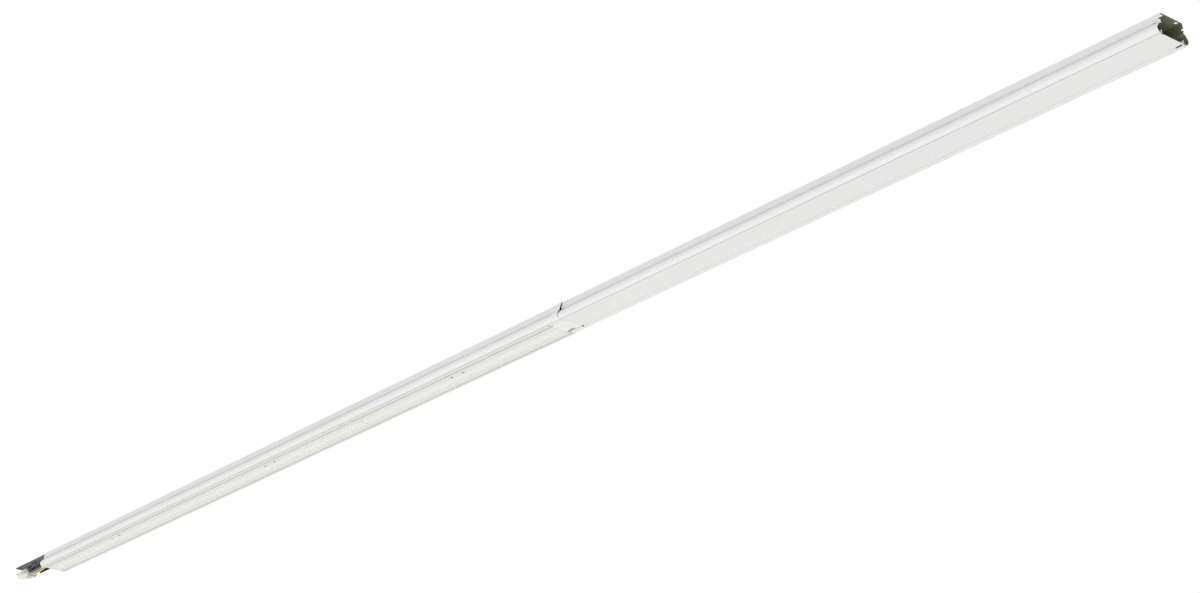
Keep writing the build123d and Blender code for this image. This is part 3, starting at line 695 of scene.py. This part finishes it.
def make_plug():
    """The moulded plug at the coupler end: tapered nose, shouldered body, windows drawn as flush patches of
    darker ivory (painted shade) and a latch.
    """
    low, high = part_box("through_plug")
    half = high.y
    body_top = low.z + 16 * MM
    nose = 26 * MM
    bm = bmesh.new()
    span = (low.z + 2.4 * MM, body_top - 2.0 * MM)
    stations = [
        (low.x, half - 4.9 * MM, (span[0] + 3.2 * MM, span[1] - 2.0 * MM), 1.6 * MM),
        (low.x + 1.2 * MM, half - 3.2 * MM, (span[0] + 1.6 * MM, span[1] - 0.8 * MM), 2.0 * MM),
        (low.x + 12 * MM, half - 2.2 * MM, (span[0] + 0.3 * MM, span[1] - 0.2 * MM), 1.6 * MM),
        (low.x + nose - 0.8 * MM, half - 1.9 * MM, span, 1.4 * MM),
        (low.x + nose, half - 0.7 * MM, (low.z + 0.9 * MM, body_top - 0.8 * MM), 1.6 * MM),
        (low.x + nose + 0.9 * MM, half, (low.z, body_top), 2.0 * MM),
        (high.x - 6.0 * MM, half, (low.z, body_top), 2.0 * MM),
        (high.x - 5.2 * MM, half - 0.8 * MM, (low.z + 0.8 * MM, body_top - 0.8 * MM), 1.8 * MM),
        (high.x, half - 1.0 * MM, (low.z + 1.0 * MM, body_top - 1.0 * MM), 1.8 * MM),
    ]
    add_loft(bm, stations)
    foot_x = (low.x + nose + 8 * MM, high.x - 12 * MM)
    add_block(bm, foot_x, (-5 * MM, 5 * MM), (body_top - 0.5 * MM, high.z), 0.5 * MM)
    # painted shade: the windows are flush patches painted a darker ivory where the recesses' shade would fall
    for window in range(3):
        start = low.x + nose + (3.0 + 7.4 * window) * MM
        x = (start, start + 5.2 * MM)
        for side in (-1, 1):
            y = sorted((side * (half - 1.0 * MM), side * half))
            add_block(bm, x, y, (low.z + 5.2 * MM, low.z + 10.4 * MM), 0.0, 1, 2)
        add_block(bm, x, (-5 * MM, 5 * MM), (low.z, low.z + 0.6 * MM), 0.0, 1, 2)
    for side in (-1, 1):
        y = sorted((side * (half - 2.6 * MM), side * (half - 1.3 * MM)))
        add_block(bm, (low.x + 6 * MM, low.x + nose), y, (low.z + 8 * MM, low.z + 13 * MM), 0.35 * MM)
        add_block(bm, (high.x - 5.0 * MM, high.x - 1.0 * MM), (-half + 2 * MM, half - 2 * MM),
                  (low.z + 0.6 * MM, low.z + 1.6 * MM), 0.2 * MM)
    pins_low, pins_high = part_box("through_plug_contacts")
    upper, lower = pins_high.z - 1.2 * MM, pins_low.z + 1.2 * MM
    reach = pins_high.y - 1.2 * MM
    places = [(reach * (step - 1.5) / 1.5, upper) for step in range(4)]
    places += [(y * reach / 1.5, lower) for y in (-1, 0, 1)]
    for y, z in places:
        add_cell(bm, low.x, y, z)
    # dark grey for the painted shade in the contact mouths, darker ivory for the painted shade of the windows
    dark = ("grey_plastic", "ivory_shade")
    return piece("row_plug", "trunking", "ivory_plastic", bm, 32.0, ("through_plug",), dark)


def make_wire_clamp():
    """The dark ribbed clamp behind the plug, round the upper row of wires."""
    low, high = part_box("through_plug")
    z = (high.z - 12.1 * MM, high.z - 5.6 * MM)
    bm = bmesh.new()
    stations = []
    for rib in range(3):
        start = high.x + 4.8 * MM * rib
        stations += [(start, 11.0 * MM, z, 1.2 * MM), (start + 3.0 * MM, 11.0 * MM, z, 1.2 * MM)]
        if rib < 2:
            waist = (10.3 * MM, (z[0] + 0.7 * MM, z[1] - 0.7 * MM), 1.0 * MM)
            stations += [(start + 3.5 * MM, *waist), (start + 4.3 * MM, *waist)]
    add_loft(bm, stations)
    return piece("wire_clamp", "trunking", "grey_plastic", bm, 40.0)


CAP_RAMP_DEPTH = 2.4 * MM
CAP_RAMP_LENGTH = 12.0 * MM
POCKET_GAP = 0.15 * MM


def make_near_cap():
    """The cap at the joint, with a short ramp from the lens's face up to the cover's pan."""
    low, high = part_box("end_cap_near")
    pocket_low, pocket_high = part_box("tool_pocket")
    pan, top = low.z, high.z
    roof = pan + 0.9 * MM
    wall_x = high.x - 1.6 * MM
    line = [(low.x, pan - CAP_RAMP_DEPTH), (low.x + CAP_RAMP_LENGTH, pan), (high.x - 0.4 * MM, pan),
            (high.x, pan + 0.4 * MM), (high.x, top), (wall_x, top), (wall_x, roof), (low.x, roof)]
    beside = (pocket_low.y - POCKET_GAP, pocket_high.y + POCKET_GAP)
    bm = bmesh.new()
    for side_y in ((low.y, beside[0]), (beside[1], high.y)):
        add_prism(bm, line, side_y)
    for x in ((low.x, pocket_low.x - POCKET_GAP), (pocket_high.x + POCKET_GAP, high.x)):
        add_block(bm, x, beside, (pan, roof), 0.1 * MM)
    return piece("near_cap", "tray", "white_plastic", bm, 30.0, ("end_cap_near",))


def add_prism(bm, line, y):
    """A closed prism between two widths, from its (x, z) outline."""
    sides = [[bm.verts.new((x, across, z)) for x, z in line] for across in y]
    for step in range(len(line)):
        after = (step + 1) % len(line)
        bm.faces.new((sides[0][step], sides[0][after], sides[1][after], sides[1][step]))
    bm.faces.new(sides[0])
    bm.faces.new(sides[1])


def add_cell(bm, x, y, z, segments=16):
    """One round contact cell in the plug's face: a low collar round a shallow mouth whose floor is painted
    dark, painted shade for the socket's depth.
    """
    rings = []
    for radius, reach in ((1.9, 0.6), (1.9, 0.0), (1.45, 0.0), (1.45, 0.5)):
        ring = []
        for step in range(segments):
            angle = 2 * math.pi * step / segments
            ring.append(bm.verts.new((x + reach * MM, y + radius * MM * math.cos(angle),
                                      z + radius * MM * math.sin(angle))))
        rings.append(ring)
    for this, following in zip(rings, rings[1:]):
        for step in range(segments):
            after = (step + 1) % segments
            bm.faces.new((this[step], this[after], following[after], following[step]))
    bm.faces.new(rings[0])
    # painted shade: the mouth's floor takes the dark grey
    mouth = bm.faces.new(rings[-1])
    mouth.material_index = 1


# ---- build --------------------------------------------------------------------------
make_camera()
make_surroundings()
paint_cad_nodes()
for index in (1, 2, 3):
    make_lens(index)
    make_leds(index)
make_lens_screws()
make_plug()
make_wire_clamp()
make_near_cap()
